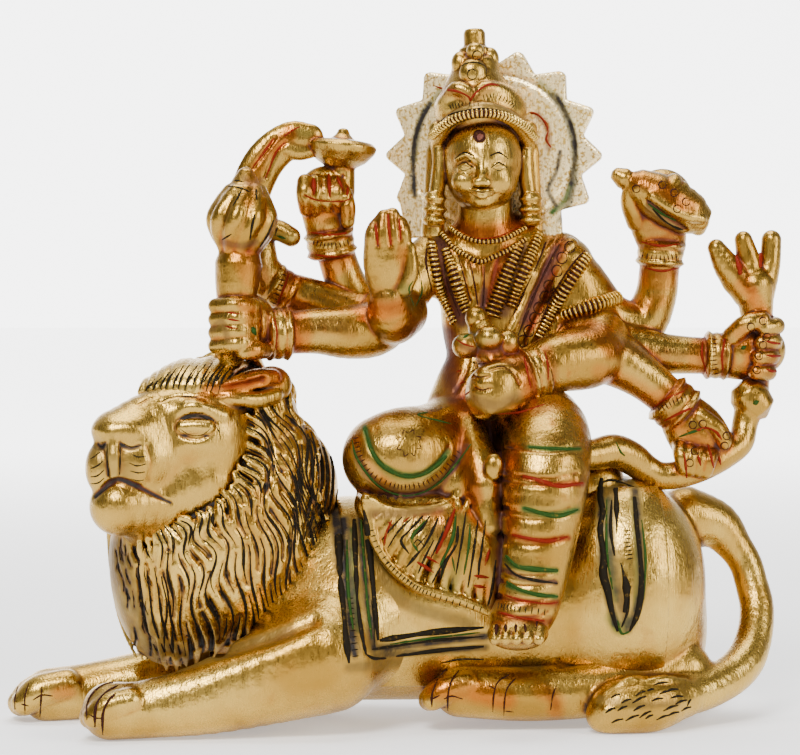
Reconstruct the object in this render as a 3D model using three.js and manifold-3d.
// A brass figure of an eight-armed goddess seated sideways on a lying lion, cast as one piece.
// Millimetres, +Z up. The lion lies along X with its head at -X, and the goddess looks towards -Y.
import * as THREE from "three";
import { mergeVertices } from "three/addons/utils/BufferGeometryUtils.js";
import Module from "manifold-3d";

// Driving sizes. The figure is laid out on an upright grid, and its forms are shares of its height.
const figureHeight = 152;
const gridHeight = 690;
const cell = figureHeight / gridHeight;
const haloThickness = 2.4;
const clothThickness = 0.9;
const mostTriangles = 9400;

// The layout grid is seen from the front left: x to the right, z up, y the true depth from the spine.
const eyeTurn = THREE.MathUtils.degToRad(8);
const eyeDistance = 2700;
const eyeHeight = 400;
const tableHeight = 2;
const haloTurn = eyeTurn * 3;
const middleX = 0;
const middleY = -18;

const wasm = await Module();
wasm.setup();

const eye = new THREE.Vector3(
  -Math.sin(eyeTurn) * eyeDistance,
  -Math.cos(eyeTurn) * eyeDistance,
  eyeHeight,
);

// How far along its line of sight a layout point lies, as a share of the way to the drawing plane.
function reach(x, y) {
  return (y - eye.y) / (-x * Math.sin(eyeTurn) - eye.y);
}

// A layout point at its true place, in millimetres.
function place(x, y, z) {
  const drawn = new THREE.Vector3(x * Math.cos(eyeTurn), -x * Math.sin(eyeTurn), z);
  const point = drawn.sub(eye).multiplyScalar(reach(x, y)).add(eye);
  const moved = new THREE.Vector3(point.x - middleX, point.y - middleY, point.z - tableHeight);
  return moved.multiplyScalar(cell);
}

// A closed mesh from rings of points with a point at each end.
function skin(first, rings, last) {
  const sides = rings[0].length;
  const points = [first, ...rings.flat(), last];
  const tail = points.length - 1;
  const faces = [];
  const at = (ring, side) => 1 + ring * sides + (side % sides);
  for (let side = 0; side < sides; side++) {
    faces.push(0, at(0, side + 1), at(0, side));
    faces.push(tail, at(rings.length - 1, side), at(rings.length - 1, side + 1));
    for (let ring = 0; ring < rings.length - 1; ring++) {
      faces.push(at(ring, side), at(ring, side + 1), at(ring + 1, side));
      faces.push(at(ring, side + 1), at(ring + 1, side + 1), at(ring + 1, side));
    }
  }
  const geometry = new THREE.BufferGeometry().setFromPoints(points);
  geometry.setIndex(faces);
  return solid(geometry);
}

// A geometry as a closed solid that can be joined and cut.
function solid(geometry) {
  geometry.deleteAttribute("normal");
  geometry.deleteAttribute("uv");
  const merged = mergeVertices(geometry, 1e-4);
  const made = new wasm.Manifold(
    new wasm.Mesh({
      numProp: 3,
      vertProperties: merged.attributes.position.array,
      triVerts: new Uint32Array(merged.index.array),
    }),
  );
  if (made.volume() >= 0) return made;
  const flipped = new Uint32Array(merged.index.array);
  for (let i = 0; i < flipped.length; i += 3) flipped.subarray(i, i + 2).reverse();
  return new wasm.Manifold(
    new wasm.Mesh({
      numProp: 3,
      vertProperties: merged.attributes.position.array,
      triVerts: flipped,
    }),
  );
}

// A limb through layout points [x, y, z, radius], round-ended; deep is its depth as a share of its width.
function limb(points, { sides = 8, steps = (points.length - 1) * 2, deep = 1 } = {}) {
  const route = new THREE.CatmullRomCurve3(points.map(([x, y, z]) => place(x, y, z)), false, "centripetal");
  const girth = new THREE.CatmullRomCurve3(
    points.map(([x, y, , r], i) => new THREE.Vector3(i, r * reach(x, y) * cell, 0)),
  );
  const depthAxis = new THREE.Vector3(0, 1, 0);
  const ringAt = (t, shift, share) => {
    const centre = route.getPoint(t);
    const along = route.getTangent(t);
    const across = new THREE.Vector3().crossVectors(along, depthAxis).normalize();
    const inward = new THREE.Vector3().crossVectors(across, along).normalize();
    const radius = girth.getPoint(t).y / Math.sqrt(Math.cos(Math.PI / sides));
    centre.addScaledVector(along, shift * radius);
    return Array.from({ length: sides }, (_, side) => {
      const angle = (side / sides) * 2 * Math.PI;
      return centre
        .clone()
        .addScaledVector(across, Math.cos(angle) * radius * share)
        .addScaledVector(inward, Math.sin(angle) * radius * share * deep);
    });
  };
  const endAt = (t, shift) =>
    route.getPoint(t).addScaledVector(route.getTangent(t), shift * girth.getPoint(t).y);
  const rings = Array.from({ length: steps + 1 }, (_, step) => ringAt(step / steps, 0, 1));
  if (sides < 8) return skin(endAt(0, -0.6), rings, endAt(1, 0.6));
  return skin(endAt(0, -0.95), [ringAt(0, -0.6, 0.75), ...rings, ringAt(1, 0.6, 0.75)], endAt(1, 0.95));
}

// An ellipsoid at a layout point, with its half-sizes in cells, tipped about the depth axis in degrees.
function ball([x, y, z], [rx, ry, rz], { tip = 0, across = 10, up = 6 } = {}) {
  const geometry = new THREE.SphereGeometry(1, across, up);
  const size = reach(x, y) * cell;
  geometry.rotateX(Math.PI / 2);
  geometry.scale(rx * size, ry * size, rz * size);
  geometry.rotateY(THREE.MathUtils.degToRad(-tip));
  geometry.translate(...place(x, y, z));
  return solid(geometry);
}

// A turned form between two layout points; the profile is [radius in cells, share of the way].
function turned(from, to, profile, { sides = 10 } = {}) {
  const start = place(...from);
  const end = place(...to);
  const length = start.distanceTo(end);
  const size = reach(from[0], from[1]) * cell;
  const shape = profile.map(([r, share]) => new THREE.Vector2(r * size, share * length));
  shape[0].x = 0;
  shape[shape.length - 1].x = 0;
  const geometry = new THREE.LatheGeometry(shape, sides);
  const upwards = new THREE.Vector3(0, 1, 0);
  const direction = end.sub(start).normalize();
  geometry.applyQuaternion(new THREE.Quaternion().setFromUnitVectors(upwards, direction));
  geometry.translate(...start);
  return solid(geometry);
}

// A joined mesh without the small hollows that are sealed in where its forms meet.
function filled({ vertProperties, triVerts }) {
  const root = Array.from({ length: vertProperties.length / 3 }, (_, i) => i);
  const rootOf = (i) => {
    while (root[i] !== i) i = root[i] = root[root[i]];
    return i;
  };
  for (let i = 0; i < triVerts.length; i += 3) {
    root[rootOf(triVerts[i])] = rootOf(triVerts[i + 1]);
    root[rootOf(triVerts[i + 2])] = rootOf(triVerts[i + 1]);
  }
  const corner = (i) => new THREE.Vector3().fromArray(vertProperties, triVerts[i] * 3);
  const volumes = new Map();
  for (let i = 0; i < triVerts.length; i += 3) {
    const shell = rootOf(triVerts[i]);
    const volume = corner(i).dot(corner(i + 1).cross(corner(i + 2))) / 6;
    volumes.set(shell, (volumes.get(shell) ?? 0) + volume);
  }
  const kept = Array.from(triVerts).filter((_, i) => volumes.get(rootOf(triVerts[i - (i % 3)])) > 0);
  const geometry = new THREE.BufferGeometry();
  geometry.setAttribute("position", new THREE.BufferAttribute(vertProperties, 3));
  geometry.setIndex(kept);
  return mergeVertices(geometry, 1e-5);
}

// The mesh with its least telling edges drawn together, until few enough triangles are left.
function thinned(geometry, most) {
  const points = Array.from({ length: geometry.attributes.position.count }, (_, i) =>
    new THREE.Vector3().fromBufferAttribute(geometry.attributes.position, i),
  );
  let faces = [];
  const corners = geometry.index.array;
  for (let i = 0; i < corners.length; i += 3) faces.push(Array.from(corners.slice(i, i + 3)));
  const normalOf = (a, b, c) =>
    new THREE.Vector3().subVectors(b, a).cross(new THREE.Vector3().subVectors(c, a));
  const planes = points.map(() => []);
  for (const face of faces) {
    const [a, b, c] = face.map((i) => points[i]);
    const normal = normalOf(a, b, c);
    const area = normal.length();
    if (area > 0) normal.divideScalar(area);
    for (const i of face) planes[i].push({ normal, offset: -normal.dot(a), area });
  }
  const misfit = (list, point) =>
    list.reduce((sum, { normal, offset, area }) => sum + area * (normal.dot(point) + offset) ** 2, 0);
  for (let allowed = 1e-5; faces.length > most; allowed *= 1.3) {
    const around = points.map(() => []);
    for (const face of faces) for (const i of face) around[i].push(face);
    const next = (i) => new Set(around[i].flat().filter((j) => j !== i));
    const touched = new Set();
    const joins = [];
    for (const face of faces) {
      for (let k = 0; k < 3; k++) {
        const [a, b] = [face[k], face[(k + 1) % 3]];
        if (a > b) continue;
        const spots = [points[a], points[b], points[a].clone().lerp(points[b], 0.5)];
        const costs = spots.map((spot) => misfit(planes[a], spot) + misfit(planes[b], spot));
        const least = Math.min(...costs);
        const short = points[a].distanceToSquared(points[b]) * 1e-5;
        const cost = least + short;
        if (cost < allowed) joins.push({ a, b, spot: spots[costs.indexOf(least)], cost });
      }
    }
    joins.sort((p, q) => p.cost - q.cost);
    for (const { a, b, spot } of joins) {
      const [nearA, nearB] = [next(a), next(b)];
      if ([a, b, ...nearA, ...nearB].some((i) => touched.has(i))) continue;
      if ([...nearA].filter((i) => nearB.has(i)).length !== 2) continue;
      const moving = [...around[a], ...around[b]].filter((face) => !(face.includes(a) && face.includes(b)));
      const folds = moving.some((face) => {
        const before = normalOf(...face.map((i) => points[i]));
        const after = normalOf(...face.map((i) => (i === a || i === b ? spot : points[i])));
        if (after.length() < 1e-4) return true;
        return before.length() > 1e-4 && before.normalize().dot(after.normalize()) < 0.5;
      });
      if (folds) continue;
      for (const i of [a, b, ...nearA, ...nearB]) touched.add(i);
      points[a] = spot.clone();
      planes[a] = [...planes[a], ...planes[b]];
      for (const face of around[b]) {
        if (face.includes(a)) face.length = 0;
        else face[face.indexOf(b)] = a;
      }
    }
    faces = faces.filter((face) => face.length);
  }
  const result = new THREE.BufferGeometry().setFromPoints(points);
  result.setIndex(faces.flat());
  return result;
}

const fuse = (pieces) => pieces.reduce((whole, piece) => whole.add(piece));
const mix = (a, b, t) => a + (b - a) * t;

// The lion.

const trunkLine = [
  [-50, 0, 122, 100],
  [60, 0, 121, 98],
  [160, 0, 124, 100],
];

function lionTrunk() {
  return [
    limb(trunkLine, { sides: 24, steps: 4 }),
    limb([[-95, -40, 90, 62], [-50, -52, 98, 66]], { sides: 16, steps: 1 }),
    limb([[-95, 40, 90, 62], [-50, 52, 98, 66]], { sides: 16, steps: 1 }),
    ball([226, -48, 134], [80, 72, 110], { across: 20, up: 12 }),
    ball([226, 48, 134], [80, 72, 110], { across: 16, up: 10 }),
    ball([225, 0, 142], [80, 90, 104], { across: 16, up: 10 }),
    ball([264, -26, 88], [42, 54, 62], { across: 12, up: 8 }),
  ];
}

// Toes side by side and pointing to -X, each a short curled limb.
function toes(x, y, z, spread, size, count) {
  return Array.from({ length: count }, (_, i) => {
    const side = i / (count - 1) - 0.5;
    const bow = 1 - 2 * side * side;
    const row = y + side * spread;
    return limb(
      [
        [x + size * 2.2, row, z + size * 0.9, size * 0.9],
        [x + size * 0.9 - bow * size * 0.5, row, z + size * 0.45, size],
        [x - bow * size * 0.5, row, z - size * 0.2, size * 0.8],
      ],
      { sides: 8, steps: 2 },
    );
  });
}

function lionLegs() {
  const nearFore = [[-75, -88, 66, 58], [-125, -92, 47, 49], [-190, -96, 24, 37], [-250, -96, 12, 29],
    [-290, -96, 10, 29]];
  const farFore = [[-90, 62, 66, 52], [-150, 60, 58, 43], [-240, 54, 42, 33], [-310, 48, 31, 28],
    [-352, 45, 26, 27]];
  const nearHind = [[280, -66, 50, 33], [215, -84, 34, 28], [130, -84, 28, 28], [60, -82, 30, 26]];
  const farHind = [[272, 80, 56, 36], [200, 90, 46, 30], [110, 90, 46, 30], [60, 86, 44, 26]];
  return [
    limb(nearFore, { sides: 14, steps: 6 }),
    limb(farFore, { sides: 12, steps: 6 }),
    limb(nearHind, { sides: 12, steps: 4 }),
    limb(farHind, { sides: 10, steps: 4 }),
    ...toes(-303, -96, 7, 36, 15, 4),
    ...toes(-372, 45, 22, 38, 17, 4),
    ...toes(36, -82, 24, 32, 14, 4),
    ball([-80, -82, 66], [52, 34, 54], { across: 14, up: 8 }),
  ];
}

function lionHead() {
  return [
    ball([-200, -40, 285], [58, 62, 64], { across: 18, up: 12 }),
    limb([[-200, -52, 314, 36], [-245, -66, 304, 29],
      [-285, -78, 292, 20]], { sides: 12, steps: 4, deep: 1.1 }),
    ball([-262, -72, 262], [38, 42, 40], { across: 14, up: 10 }),
    ball([-264, -106, 260], [23, 16, 27], { across: 10, up: 8 }),
    ball([-300, -86, 257], [18, 24, 28], { across: 10, up: 8 }),
    ball([-290, -100, 291], [18, 15, 13], { across: 10, up: 6 }),
    limb([[-281, -84, 216, 30], [-240, -62, 224, 38], [-200, -52, 242, 48]], { sides: 12, steps: 3 }),
    ball([-207, -92, 296], [19, 13, 10], { across: 10, up: 6 }),
    limb([[-232, -88, 305, 8], [-206, -96, 312, 8], [-180, -90, 304, 8]], { sides: 6, steps: 3 }),
    ball([-126, -50, 333], [24, 15, 21], { tip: 20, across: 10, up: 8 }),
    ball([-148, -58, 334], [26, 12, 9], { tip: -14, across: 8, up: 6 }),
    ball([-196, 26, 333], [22, 13, 20], { tip: -35, across: 10, up: 6 }),
  ];
}

// The mane is laid over these masses: centre and half-sizes.
const maneMasses = [
  [[-178, -18, 192], [108, 84, 128]],
  [[-158, -18, 294], [62, 60, 66]],
  [[-130, -12, 232], [72, 68, 80]],
  [[-230, -12, 162], [65, 62, 110]],
];

// The depth of the mane's surface at a layout point, on the near (-1) or the far (+1) side.
function maneDepth(x, z, side) {
  const depths = maneMasses.map(([centre, size]) => {
    const inside = 1 - ((x - centre[0]) / size[0]) ** 2 - ((z - centre[2]) / size[2]) ** 2;
    return inside > 0 ? side * centre[1] + size[1] * Math.sqrt(inside) : -20;
  });
  return side * Math.max(...depths);
}

// The edge of the face, the mane's outline, and how far its locks reach from the one to the other.
const faceEdge = [[-150, 322], [-146, 294], [-157, 254], [-177, 220], [-210, 202], [-244, 178],
  [-278, 190]];
const maneEdge = [[-116, 338], [-84, 270], [-66, 192], [-94, 134], [-150, 92], [-216, 58], [-268, 84]];
const lockTiers = [
  { from: 0, to: 0.42, width: 7 },
  { from: 0.28, to: 0.74, width: 8 },
  { from: 0.58, to: 1, width: 9 },
];

const curveOf = (points) => new THREE.CatmullRomCurve3(points.map(([x, z]) => new THREE.Vector3(x, 0, z)));

function lionMane() {
  const [inner, outer] = [curveOf(faceEdge), curveOf(maneEdge)];
  const lock = (along, { from, to, width }, side) => {
    const root = inner.getPoint(along);
    const end = outer.getPoint(along);
    const points = Array.from({ length: 4 }, (_, i) => {
      const t = i / 3;
      const share = mix(from, to, t);
      const { x, z } = root.clone().lerp(end, share);
      const sag = 14 * Math.sin(Math.PI * share) * (1 - along) + 5 * Math.sin(t * 2 * Math.PI);
      const at = [x + sag * 0.4, z + sag];
      const radius = width * Math.sin(Math.PI * mix(0.25, 0.93, t));
      return [at[0], maneDepth(...at, side) - side * 2, at[1], radius];
    });
    return limb(points, { sides: 5, steps: 4 });
  };
  const locks = lockTiers.flatMap((tier, row) =>
    Array.from({ length: 14 }, (_, i) => lock((i + 0.6 + 0.5 * (row % 2)) / 15, tier, -1)),
  );
  const farLocks = lockTiers.slice(1).flatMap((tier) =>
    Array.from({ length: 7 }, (_, i) => lock((i + 0.5) / 7, { ...tier, width: tier.width * 1.8 }, 1)),
  );
  const crest = Array.from({ length: 9 }, (_, i) => {
    const t = i / 8;
    const x = mix(-248, -166, t);
    const rise = mix(-12, 6, Math.sqrt(t));
    return limb(
      [[x - 8, -66 + 8 * t, 332 + 4 * t, 7], [x, -48, 353 + rise, 9], [x + 14, -16, 360 + rise, 9]],
      { sides: 5, steps: 2 },
    );
  });
  return [
    ...maneMasses.map(([centre, size]) => ball(centre, size, { across: 18, up: 12 })),
    ball([-196, -26, 322], [52, 46, 40], { across: 14, up: 8 }),
    ...locks,
    ...farLocks,
    ...crest,
  ];
}

function lionTail() {
  const tail = [
    [286, 6, 206, 30], [316, 4, 197, 24], [334, 0, 177, 18], [346, -4, 158, 16.5], [352, -10, 138, 16.5],
    [357, -18, 118, 17], [357, -28, 98, 17.5], [353, -40, 78, 18.5], [345, -54, 60, 20],
      [330, -68, 45, 20.5],
    [306, -86, 32, 20.5], [282, -100, 25, 21],
  ];
  const tuft = [[282, -102, 24, 21], [252, -116, 17, 28], [220, -120, 14, 27], [204, -120, 6, 18]];
  const strands = [-1, 0, 1].map((row) =>
    limb([[278, -120 + Math.abs(row) * 8, 25 + row * 13, 6],
      [248, -138 + Math.abs(row) * 8, 17 + row * 17, 8],
      [210, -138 + Math.abs(row) * 8, 10 + row * 13, 7]], { sides: 5, steps: 2 }),
  );
  return [limb(tail, { sides: 10, steps: 16 }), limb(tuft, { sides: 10, steps: 4 }), ...strands];
}

// The saddle cloth is a thicker band of the trunk between two upright planes, with a ridge at each end.
function saddleCloth() {
  const thick = clothThickness / cell;
  const band = (left, right, low, extra) => {
    const wrap = fuse([
      limb(trunkLine.map(([x, y, z, r]) => [x, y, z, r + extra]), { sides: 24, steps: 4 }),
      ball([226, -48, 134], [80 + extra, 72 + extra, 110 + extra], { across: 20, up: 12 }),
      ball([226, 48, 134], [80 + extra, 72 + extra, 110 + extra], { across: 16, up: 10 }),
    ]);
    const box = new THREE.BoxGeometry((right - left) * cell, 320 * cell, 260 * cell);
    box.translate(...place((left + right) / 2, 0, low + 130));
    return wrap.intersect(solid(box));
  };
  return [
    band(-66, 242, 42, thick),
    band(-66, -50, 36, thick * 2),
    band(226, 242, 84, thick * 2),
  ];
}

// The goddess.

const chest = { centre: [94, 8, 452], size: [64, 38, 60] };

// The depth of the breast, belly and neck at a layout point.
function frontDepth(x, z) {
  const dx = (x - chest.centre[0]) / chest.size[0];
  const dz = Math.max(0, z - chest.centre[2]) / chest.size[2];
  const breast = chest.centre[1] - chest.size[1] * Math.sqrt(Math.max(0.05, 1 - dx * dx - dz * dz));
  const neck = z > 470 ? -2 - Math.sqrt(Math.max(0, 28 ** 2 - (x - 86) ** 2)) : breast;
  return Math.min(breast, neck);
}

function torso() {
  const waist = [[94, 10, 430, 54], [96, 8, 402, 55], [97, 6, 372, 51], [95, 2, 348, 52], [92, 0, 322, 60],
    [90, -4, 296, 68]];
  return [
    ball(chest.centre, chest.size, { across: 18, up: 12 }),
    ball([34, 6, 456], [27, 26, 32], { across: 10, up: 8 }),
    ball([160, 6, 456], [30, 28, 34], { across: 10, up: 8 }),
    limb(waist, { sides: 16, steps: 7, deep: 0.72 }),
    ball([70, -14, 448], [24, 20, 24], { across: 10, up: 8 }),
    ball([116, -14, 448], [24, 20, 24], { across: 10, up: 8 }),
    limb([[88, 2, 476, 32], [85, -2, 500, 28], [85, -4, 520, 27]], { sides: 12, steps: 2 }),
  ];
}

function head() {
  const earringProfile = [[0, 0], [9, 0.02], [12, 0.2], [9, 0.35], [13, 0.52], [9, 0.66], [13, 0.84],
    [9, 0.98],
    [0, 1]];
  const sideOf = (side, x) => [
    limb([[x, -2, 592, 9], [x - side * 3, -8, 560, 8], [x + side, -10, 524, 8]], { sides: 7, steps: 3 }),
    turned([x + side * 2, -10, 530], [x + side * 3, -10, 496], earringProfile, { sides: 8 }),
    limb([[x + side * 2, 6, 570, 9], [x + side * 4, 6, 520, 10],
      [x + side * 4, 8, 488, 12]], { sides: 6, steps: 2 }),
  ];
  return [
    ball([82, -16, 560], [39, 40, 52], { across: 18, up: 14 }),
    ball([82, -12, 524], [25, 30, 18], { across: 12, up: 8 }),
    limb([[79, -50, 572, 4], [78, -57, 551, 8]], { sides: 6, steps: 1 }),
    ...sideOf(-1, 37),
    ...sideOf(1, 128),
  ];
}

function crown() {
  const brow = [[38, -8, 580, 8], [52, -38, 601, 8], [82, -54, 612, 9], [112, -40, 602, 8],
    [128, -8, 578, 8]];
  const leaf = [[46, -20, 616, 8], [58, -38, 636, 9], [72, -44, 620, 8], [92, -42, 637, 9],
    [116, -24, 614, 8]];
  const topProfile = [[0, 0], [36, 0.02], [32, 0.2], [24, 0.42], [22, 0.54], [16, 0.6], [16, 0.7],
    [11, 0.75],
    [11, 0.94], [7, 1], [0, 1]];
  return [
    limb(brow, { sides: 7, steps: 8 }),
    ball([80, -10, 612], [46, 36, 32], { across: 16, up: 8 }),
    limb(leaf, { sides: 6, steps: 6 }),
    turned([76, -6, 622], [74, -2, 693], topProfile, { sides: 12 }),
    ball([73, -28, 648], [14, 10, 15], { across: 10, up: 6 }),
    ball([75, -24, 670], [9, 8, 9], { across: 8, up: 6 }),
    ball([60, -12, 658], [9, 9, 12], { across: 8, up: 6 }),
    ball([90, -10, 662], [9, 9, 12], { across: 8, up: 6 }),
  ];
}

// The halo is a flat plate with a row of blunt points round its rim, standing behind the head.
function halo() {
  const [wide, high] = [96, 89];
  const pointCount = 10;
  const pointTurn = THREE.MathUtils.degToRad(26.2);
  const firstPoint = THREE.MathUtils.degToRad(-29);
  const pointHeight = 1.17;
  const outline = new THREE.Shape();
  const corner = (angle, out) =>
    outline.lineTo(Math.cos(angle) * wide * out * cell, Math.sin(angle) * high * out * cell);
  outline.moveTo(-90 * cell, -86 * cell);
  outline.lineTo(72 * cell, -86 * cell);
  for (let i = 0; i < pointCount; i++) {
    const middle = firstPoint + i * pointTurn;
    corner(middle - pointTurn * 0.5, 1);
    corner(middle - pointTurn * 0.16, pointHeight - 0.035);
    corner(middle, pointHeight);
    corner(middle + pointTurn * 0.16, pointHeight - 0.035);
  }
  outline.lineTo(-95 * cell, -62 * cell);
  const plate = new THREE.ExtrudeGeometry(outline, { depth: haloThickness, bevelEnabled: false });
  plate.translate(0, 0, -haloThickness / 2);
  plate.rotateX(Math.PI / 2);
  plate.rotateZ(-haloTurn);
  plate.translate(...place(93, 26, 569));
  return [solid(plate)];
}

function skirt() {
  const shin = [
    [116, -18, 304, 48], [144, -66, 286, 46], [146, -106, 250, 44], [142, -116, 205, 40],
      [137, -120, 160, 35],
    [128, -124, 118, 32], [118, -128, 100, 29],
  ];
  const bandPlaces = [[272, -121], [242, -142], [210, -149], [182, -150], [146, -152], [116, -153]];
  const bands = bandPlaces.map(([z, y], i) =>
    limb([[104 - i, y + 28, z, 3], [126 - i, y, z - 6, 4], [162 - i * 3, y + 4, z - 4, 4],
      [180 - i * 6, y + 30, z + 2, 3]], { sides: 5, steps: 3 }),
  );
  return [
    limb(shin, { sides: 16, steps: 10, deep: 0.85 }),
    ...bands,
    limb([[76, -8, 292, 44], [34, -38, 272, 47], [4, -60, 266, 49],
      [-14, -62, 264, 44]], { sides: 16, steps: 5 }),
    limb([[40, -50, 230, 30], [72, -64, 240, 34], [100, -70, 236, 30]], { sides: 10, steps: 2 }),
    limb([[70, -62, 300, 12], [78, -88, 262, 22], [84, -98, 236, 20]], { sides: 10, steps: 3 }),
    limb([[84, -94, 236, 18], [88, -104, 214, 14], [92, -108, 196, 12]], { sides: 8, steps: 2 }),
    ball([118, -138, 88], [31, 24, 17], { across: 12, up: 8 }),
    ball([193, -34, 238], [32, 34, 30], { across: 12, up: 8 }),
    ...[-2, -1, 0, 1, 2].map((toe) =>
      limb([[118 + toe * 11, -150, 92, 6], [117 + toe * 11, -164 + Math.abs(toe) * 3, 82, 6]], {
        sides: 5,
        steps: 1,
      }),
    ),
  ];
}

// The fan of pleats that falls over the lion's side from the folded knee.
function pleats() {
  const hem = curveOf([[-34, 218], [-26, 180], [-9, 151], [19, 130], [59, 118], [90, 106]]);
  const folds = Array.from({ length: 11 }, (_, i) => {
    const t = i / 10;
    const { x, z } = hem.getPoint(t);
    const top = [mix(-24, 92, t), mix(226, 218, t)];
    return limb(
      [[top[0], -94, top[1], 6], [mix(top[0], x, 0.55) + 2, -106, mix(top[1], z, 0.5), 9],
        [x, -106, z + 2, 9]],
      { sides: 6, steps: 3, deep: 0.8 },
    );
  });
  const backing = [[-22, -68, 218, 24], [20, -78, 194, 38], [62, -82, 170, 46], [86, -84, 148, 36]];
  return [limb(backing, { sides: 12, steps: 4, deep: 0.75 }), ...folds];
}

// Necklaces, garlands and the sash are cords that lie on the breast: [x, z, radius] along each.
function strands() {
  const cord = (points, { lift = 0, ...options } = {}) =>
    limb(points.map(([x, z, r]) => [x, frontDepth(x, z) - lift, z, r]), {
      sides: 6,
      steps: points.length + 1,
      ...options,
    });
  return [
    cord([[36, 482, 5], [33, 452, 8], [42, 424, 9], [54, 400, 5]]),
    cord([[48, 478, 5], [57, 450, 8], [64, 428, 8], [72, 404, 5]], { lift: 4 }),
    cord([[114, 480, 5], [104, 448, 9], [94, 420, 10], [90, 400, 6]], { lift: 4 }),
    cord([[138, 490, 6], [128, 456, 8], [118, 430, 8], [112, 402, 6]], { lift: 3 }),
    cord([[50, 502, 4], [66, 486, 5], [86, 480, 5], [106, 486, 5], [126, 502, 4]], { lift: 1 }),
    cord([[42, 490, 4], [62, 470, 5], [82, 461, 6], [104, 471, 5], [132, 490, 4]], { lift: 3 }),
    cord([[174, 484, 12], [150, 446, 13], [134, 406, 12], [122, 374, 10]], { lift: 4, deep: 0.6 }),
    cord([[190, 474, 9], [170, 434, 9], [156, 396, 9], [141, 366, 8]], { lift: 2 }),
    limb([[168, -26, 408, 13], [196, -22, 414, 14], [216, -10, 420, 12]], { steps: 3, deep: 0.8 }),
  ];
}

// Arms, hands and what they hold.

const bangleProfile = [[0, 0], [0.86, 0], [1.04, 0.14], [0.92, 0.3], [0.98, 0.5], [0.92, 0.7], [1.04, 0.86],
  [0.86, 1], [0, 1]];

function bangle(from, to, radius) {
  return turned(from, to, bangleProfile.map(([r, share]) => [r * radius, share]), { sides: 12 });
}

// Fingers side by side, each through points that step from those of the first finger to those of the last.
function fingers(first, last, count = 4) {
  return Array.from({ length: count }, (_, i) =>
    limb(first.map((point, k) => point.map((value, axis) => mix(value, last[k][axis], i / (count - 1)))), {
      sides: 6,
      steps: 2,
    }),
  );
}

function rightArms() {
  const maceArm = [[30, 6, 462, 25], [0, -8, 426, 27], [-22, -26, 396, 28], [-50, -38, 390, 27],
    [-82, -44, 391, 23],
    [-118, -50, 389, 21]];
  const blessingArm = [[2, -18, 410, 26], [-8, -52, 402, 24], [-12, -70, 424, 20]];
  const swordArm = [[-18, 6, 398, 24], [-50, 10, 408, 23], [-86, 8, 421, 22], [-116, 4, 434, 18],
    [-136, 2, 456, 14]];
  const discArm = [[-34, 22, 402, 26], [-52, 22, 434, 21], [-64, 18, 468, 19], [-70, 14, 498, 20]];
  return [
    limb(maceArm, { sides: 12, steps: 8 }),
    limb(blessingArm, { sides: 10, steps: 3 }),
    limb(swordArm, { sides: 10, steps: 6 }),
    limb(discArm, { sides: 10, steps: 5 }),
    bangle([-110, -49, 389], [-135, -52, 388], 27),
    bangle([-108, 5, 426], [-130, 3, 440], 22),
    bangle([-67, 17, 466], [-72, 13, 492], 25),
  ];
}

function blessingHand() {
  return [
    limb([[-10, -74, 434, 23], [-12, -80, 462, 25],
      [-12, -82, 488, 23]], { sides: 12, steps: 4, deep: 0.55 }),
    ...fingers(
      [[-27, -84, 476, 8], [-26, -85, 492, 8], [-24, -84, 504, 8]],
      [[3, -84, 480, 8], [4, -85, 496, 8], [2, -84, 506, 8]],
    ),
    limb([[4, -86, 432, 8], [11, -88, 452, 8], [10, -88, 474, 6]], { sides: 6, steps: 2 }),
  ];
}

function maceAndHand() {
  const foot = [-170, -62, 352];
  const head = [-153, -58, 556];
  const shaft = [[0, 0], [9, 0.01], [15, 0.07], [21, 0.14], [21, 0.22], [18, 0.3], [22, 0.42],
    [24, 0.52], [20, 0.58],
    [31, 0.66], [34, 0.74], [28, 0.84], [16, 0.9], [12, 0.94], [7, 0.98], [0, 1]];
  const flutes = Array.from({ length: 7 }, (_, i) => {
    const angle = (i / 7) * 2 * Math.PI + 0.3;
    const beside = (share, out, twist) => [
      mix(foot[0], head[0], share) + Math.cos(angle + twist) * out,
      mix(foot[1], head[1], share) + Math.sin(angle + twist) * out,
      mix(foot[2], head[2], share),
    ];
    return limb([[...beside(0.61, 18, -0.2), 8], [...beside(0.74, 24, 0), 14],
      [...beside(0.87, 16, 0.2), 8]], {
      sides: 6,
      steps: 3,
    });
  });
  return [
    turned(foot, head, shaft, { sides: 14 }),
    ...flutes,
    ball([-150, -54, 398], [26, 24, 30], { across: 10, up: 8 }),
    ...fingers(
      [[-148, -76, 416, 9], [-164, -86, 417, 9], [-184, -74, 416, 8]],
      [[-148, -76, 382, 9], [-164, -86, 378, 9], [-184, -72, 376, 8]],
    ),
    limb([[-136, -70, 372, 9], [-146, -80, 372, 10], [-156, -84, 370, 8]], { sides: 6, steps: 2 }),
  ];
}

function swordAndHand() {
  const blade = [[-138, 6, 466, 10], [-150, 10, 498, 15], [-149, 10, 530, 20], [-134, 8, 562, 20],
    [-110, 6, 582, 18],
    [-90, 4, 584, 14]];
  return [
    limb([[-134, 2, 440, 17], [-139, 0, 462, 17], [-138, 2, 480, 13]], { sides: 8, steps: 2 }),
    limb([[-148, 2, 490, 12], [-124, -4, 492, 11], [-109, -8, 485, 10]], { sides: 7, steps: 2 }),
    limb(blade, { sides: 8, steps: 8, deep: 0.45 }),
    limb([[-114, 4, 574, 10], [-100, 4, 570, 9], [-84, 6, 574, 9]], { sides: 6, steps: 2, deep: 0.7 }),
  ];
}

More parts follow.
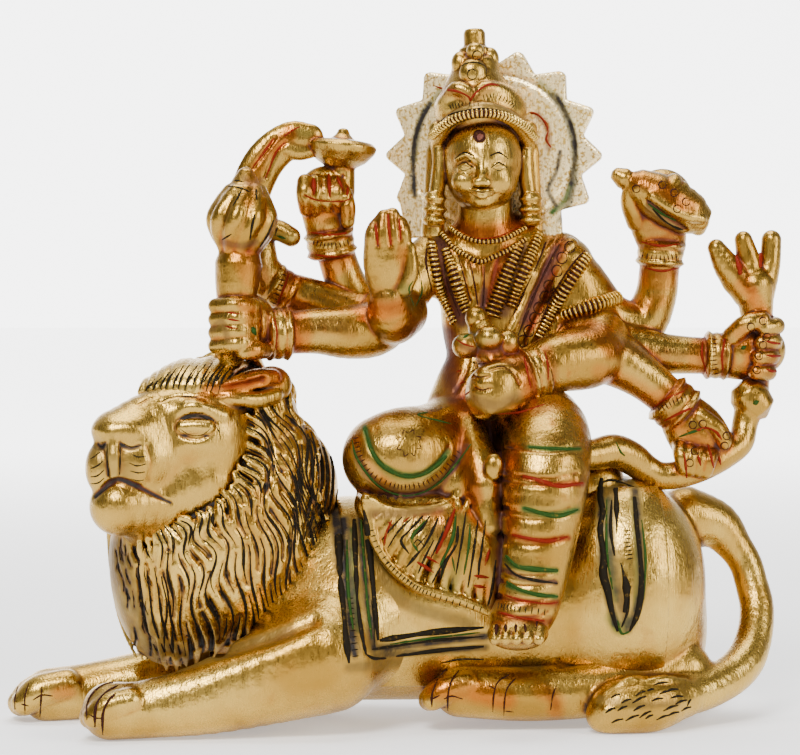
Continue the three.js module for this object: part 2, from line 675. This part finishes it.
function discAndHand() {
  const dish = [[0, 0], [14, 0.02], [24, 0.16], [32, 0.36], [35, 0.5], [30, 0.58], [10, 0.68], [7, 0.82],
    [5, 0.96], [0, 1]];
  return [
    limb([[-70, 12, 488, 23], [-72, 10, 512, 27], [-74, 8, 528, 28]], { sides: 12, steps: 3, deep: 0.6 }),
    ...fingers(
      [[-94, -2, 512, 7], [-95, -8, 528, 9], [-95, -4, 540, 8]],
      [[-62, -2, 514, 7], [-62, -8, 527, 9], [-62, -4, 538, 8]],
    ),
    limb([[-58, 6, 530, 13], [-58, 8, 552, 13], [-59, 8, 566, 13]], { sides: 8, steps: 2 }),
    limb([[-52, -8, 500, 7], [-52, -12, 514, 8], [-54, -10, 528, 7]], { sides: 6, steps: 2 }),
    turned([-60, 8, 553], [-56, 8, 598], dish, { sides: 16 }),
  ];
}

function leftArms() {
  const conchArm = [[178, 8, 436, 30], [208, 10, 404, 26], [240, 10, 398, 24], [255, 8, 424, 21],
    [259, 6, 452, 20],
    [261, 5, 470, 20]];
  const tridentArm = [[186, -8, 376, 32], [226, -12, 372, 26], [268, -16, 368, 20], [310, -18, 366, 18]];
  const bowArm = [[186, -26, 374, 32], [216, -34, 362, 27], [244, -38, 344, 22], [266, -40, 326, 20],
    [280, -40, 312, 18]];
  const lotusArm = [[200, -22, 384, 28], [192, -46, 366, 31], [160, -60, 360, 30], [134, -68, 352, 24]];
  return [
    limb([[164, 6, 456, 30], [176, 8, 424, 34], [188, 0, 392, 34]], { sides: 12, steps: 3 }),
    limb(conchArm, { sides: 10, steps: 7 }),
    limb(tridentArm, { sides: 10, steps: 6 }),
    limb(bowArm, { sides: 10, steps: 5 }),
    limb(lotusArm, { sides: 12, steps: 5 }),
    bangle([259, 6, 456], [261, 4, 481], 24),
    bangle([304, -18, 367], [328, -20, 366], 24),
    bangle([264, -40, 326], [285, -42, 308], 27),
    bangle([142, -66, 352], [124, -70, 346], 28),
  ];
}

function conchAndHand() {
  const shell = [[0, 0], [6, 0.02], [11, 0.12], [10, 0.17], [17, 0.24], [23, 0.42], [25, 0.6],
    [22, 0.82], [13, 0.97], [0, 1]];
  return [
    limb([[262, 4, 478, 24], [258, 2, 504, 30], [262, 2, 522, 31]], { sides: 12, steps: 3, deep: 0.6 }),
    turned([211, -12, 550], [308, -14, 498], shell, { sides: 12 }),
    ...fingers(
      [[266, 0, 538, 8], [274, -20, 540, 8], [270, -30, 530, 6]],
      [[292, 0, 520, 8], [298, -20, 518, 8], [294, -30, 510, 6]],
    ),
    limb([[236, -2, 500, 10], [230, -10, 520, 10], [232, -16, 538, 8]], { sides: 6, steps: 2 }),
    limb([[294, -14, 508, 9], [300, -22, 502, 9], [298, -14, 494, 8]], { sides: 6, steps: 2 }),
  ];
}

function tridentAndHand() {
  return [
    limb([[326, -20, 366, 22], [346, -22, 370, 28],
      [362, -24, 372, 24]], { sides: 10, steps: 3, deep: 0.7 }),
    limb([[356, -24, 330, 13], [358, -24, 372, 13], [356, -24, 414, 17],
      [354, -24, 436, 20]], { sides: 8, steps: 4 }),
    limb([[354, -24, 430, 17], [348, -24, 462, 12], [343, -24, 482, 9]], { sides: 7, steps: 3 }),
    limb([[348, -24, 430, 17], [328, -24, 454, 14], [316, -24, 474, 9]], { sides: 7, steps: 3 }),
    limb([[360, -24, 430, 15], [369, -24, 456, 11], [371, -24, 482, 10]], { sides: 7, steps: 3 }),
    ...fingers(
      [[366, -18, 396, 10], [376, -36, 396, 9], [364, -44, 394, 8]],
      [[360, -18, 352, 9], [368, -36, 350, 9], [356, -44, 350, 8]],
    ),
    limb([[332, -34, 386, 10], [346, -42, 398, 10], [362, -42, 402, 9]], { sides: 6, steps: 2 }),
  ];
}

function bowAndHand() {
  const snake = [[350, -32, 318, 15], [345, -34, 298, 13], [341, -40, 280, 13], [328, -46, 268, 13],
    [307, -52, 257, 14],
    [285, -54, 249, 14], [262, -52, 246, 14], [246, -52, 253, 15], [231, -56, 264, 17], [214, -62, 271, 17],
    [197, -70, 268, 16], [184, -78, 266, 14]];
  return [
    limb([[282, -42, 308, 24], [296, -44, 290, 30],
      [308, -44, 274, 28]], { sides: 10, steps: 3, deep: 0.7 }),
    turned([338, -30, 338], [367, -34, 304], [[0, 0], [10, 0.02], [18, 0.22], [20, 0.5], [17, 0.8],
      [0, 1]], { sides: 10 }),
    limb(snake, { sides: 8, steps: 18 }),
    ...fingers(
      [[280, -48, 278, 8], [281, -68, 268, 8], [284, -68, 254, 7]],
      [[312, -48, 272, 8], [310, -68, 264, 8], [306, -68, 250, 7]],
    ),
    limb([[300, -56, 306, 9], [316, -62, 294, 9], [324, -62, 280, 8]], { sides: 6, steps: 2 }),
  ];
}

function lotusAndHand() {
  const bud = (x, y, z, rx, rz) => ball([x, y, z], [rx, rx, rz], { across: 8, up: 6 });
  return [
    limb([[124, -70, 346, 24], [104, -78, 336, 30],
      [92, -80, 328, 27]], { sides: 12, steps: 3, deep: 0.85 }),
    ...fingers(
      [[104, -96, 350, 9], [84, -98, 346, 10], [76, -84, 340, 9]],
      [[106, -98, 322, 9], [92, -102, 316, 10], [80, -84, 312, 9]],
    ),
    limb([[96, -78, 350, 14], [86, -66, 378, 15], [76, -50, 406, 10]], { sides: 7, steps: 3 }),
    bud(66, -70, 376, 14, 13),
    bud(89, -80, 384, 14, 13),
    bud(107, -70, 378, 13, 15),
    bud(76, -56, 404, 11, 12),
  ];
}

// The whole casting.

const forms = [
  ...lionTrunk(), ...lionLegs(), ...lionHead(), ...lionMane(), ...lionTail(), ...saddleCloth(),
  ...torso(), ...head(), ...crown(), ...halo(), ...skirt(), ...pleats(), ...strands(),
  ...rightArms(), ...blessingHand(), ...maceAndHand(), ...swordAndHand(), ...discAndHand(),
  ...leftArms(), ...conchAndHand(), ...tridentAndHand(), ...bowAndHand(), ...lotusAndHand(),
];

// Everything below the table is dressed off, which leaves the flats that the figure stands on.
const aboveSide = figureHeight * 3;
const above = new THREE.BoxGeometry(aboveSide, aboveSide, aboveSide);
above.translate(0, 0, aboveSide / 2);
const joined = filled(fuse(forms).getMesh());
const casting = solid(thinned(joined, mostTriangles)).intersect(solid(above)).getMesh();

const geometry = filled(casting);
geometry.computeVertexNormals();

const brass = new THREE.MeshStandardMaterial({ color: 0xb48a3c, metalness: 1, roughness: 0.35 });
const durgaFigure = new THREE.Mesh(geometry, brass);
durgaFigure.name = "durga_figure";

const group = new THREE.Group();
group.add(durgaFigure);
export default group;
